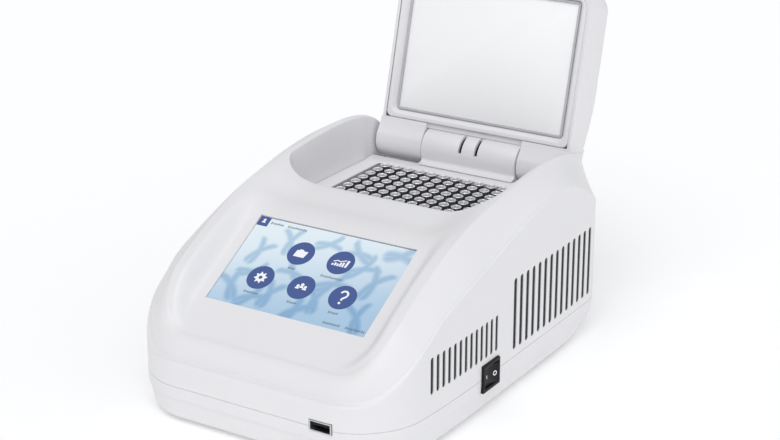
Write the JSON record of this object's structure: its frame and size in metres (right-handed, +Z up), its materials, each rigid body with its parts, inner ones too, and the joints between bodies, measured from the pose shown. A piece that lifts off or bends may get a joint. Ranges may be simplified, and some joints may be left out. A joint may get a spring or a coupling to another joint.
{
  "type": "thermal cycler",
  "caption": "Benchtop thermal cycler: white hood with a sloped touch screen, vented sides, a well block in a deep opening and a hinged heated lid that folds back.",
  "frame": {"origin": "on the bench, under the middle of the whole object's box with the lid open", "axes": "+X to the operator's right, +Y to the back, +Z up"},
  "size_m": [0.1964, 0.3141, 0.2182],
  "materials": {
    "white_plastic": "fine satin moulded",
    "aluminium": "satin machined",
    "ceramic": "matt",
    "steel": "bright plated",
    "brass": "plated",
    "rubber": "matt",
    "black_plastic": "satin",
    "circuit_board": "solder mask",
    "display": "lit colour display under a clear touch panel",
    "silicone": "matt",
    "plate_coating": "smooth pale coating",
    "foam": "open cell"
  },
  "bodies": {
    "base": {"base_screw_front_left": "steel", "base_screw_front_right": "steel", "base_screw_rear_left": "steel", "base_screw_rear_right": "steel", "base_tray": "white_plastic", "block_surround": "white_plastic", "display_board": "circuit_board", "display_bracket": "steel", "display_glass": "display", "fan_frame_left": "black_plastic", "fan_frame_right": "black_plastic", "foot_front_left": "rubber", "foot_front_right": "rubber", "foot_rear_left": "rubber", "foot_rear_right": "rubber", "heatsink": "aluminium", "hinge_bracket_left": "steel", "hinge_bracket_right": "steel", "hinge_cover": "white_plastic", "hinge_shaft": "steel", "hinge_spring_left": "steel", "hinge_spring_right": "steel", "inlet_pin_earth": "brass", "inlet_pin_line": "brass", "inlet_pin_neutral": "brass", "lcd_module": "black_plastic", "main_board": "circuit_board", "mains_inlet": "black_plastic", "peltier_module_1": "ceramic", "peltier_module_2": "ceramic", "peltier_module_3": "ceramic", "peltier_module_4": "ceramic", "peltier_module_5": "ceramic", "peltier_module_6": "ceramic", "power_supply": "steel", "sample_block": "aluminium", "switch_frame": "black_plastic", "upper_housing": "white_plastic", "usb_socket": "steel", "usb_tongue": "black_plastic"},
    "lid": {"lid_outer_shell": "white_plastic", "lid_inner_frame": "white_plastic", "lid_gasket": "silicone", "plate_spring_1": "steel", "plate_spring_2": "steel", "plate_spring_3": "steel", "plate_spring_4": "steel"},
    "plate": {"heated_plate": "plate_coating", "lid_heater_mat": "silicone", "lid_insulation": "foam"},
    "rocker": {"switch_rocker": "black_plastic"},
    "rotor_left": {"fan_rotor_left": "black_plastic"},
    "rotor_right": {"fan_rotor_right": "black_plastic"}
  },
  "joints": [
    {"name": "lid_hinge", "type": "hinge", "parent": "base", "child": "lid", "pos_m": [0, 0.1072, 0.103], "axis": [1, 0, 0], "range_deg": [0, 104.7]},
    {"name": "heated_plate_press", "type": "slide", "parent": "lid", "child": "plate", "axis": [0, 0.9673, -0.2538], "range_m": [0, 0.003], "stiffness_N_per_m": 3000, "springref_m": -0.004, "deforming": ["plate_spring_1", "plate_spring_2", "plate_spring_3", "plate_spring_4"]},
    {"name": "rocker_tilt", "type": "hinge", "parent": "base", "child": "rocker", "pos_m": [0.0948, -0.0438, 0.025], "axis": [0, 0, 1], "range_deg": [0, 16]},
    {"name": "fan_spin_left", "type": "hinge", "parent": "base", "child": "rotor_left", "pos_m": [-0.041, 0.0362, 0.015], "axis": [0, 0, 1], "continuous": true},
    {"name": "fan_spin_right", "type": "hinge", "parent": "base", "child": "rotor_right", "pos_m": [0.041, 0.0362, 0.015], "axis": [0, 0, 1], "continuous": true}
  ]
}
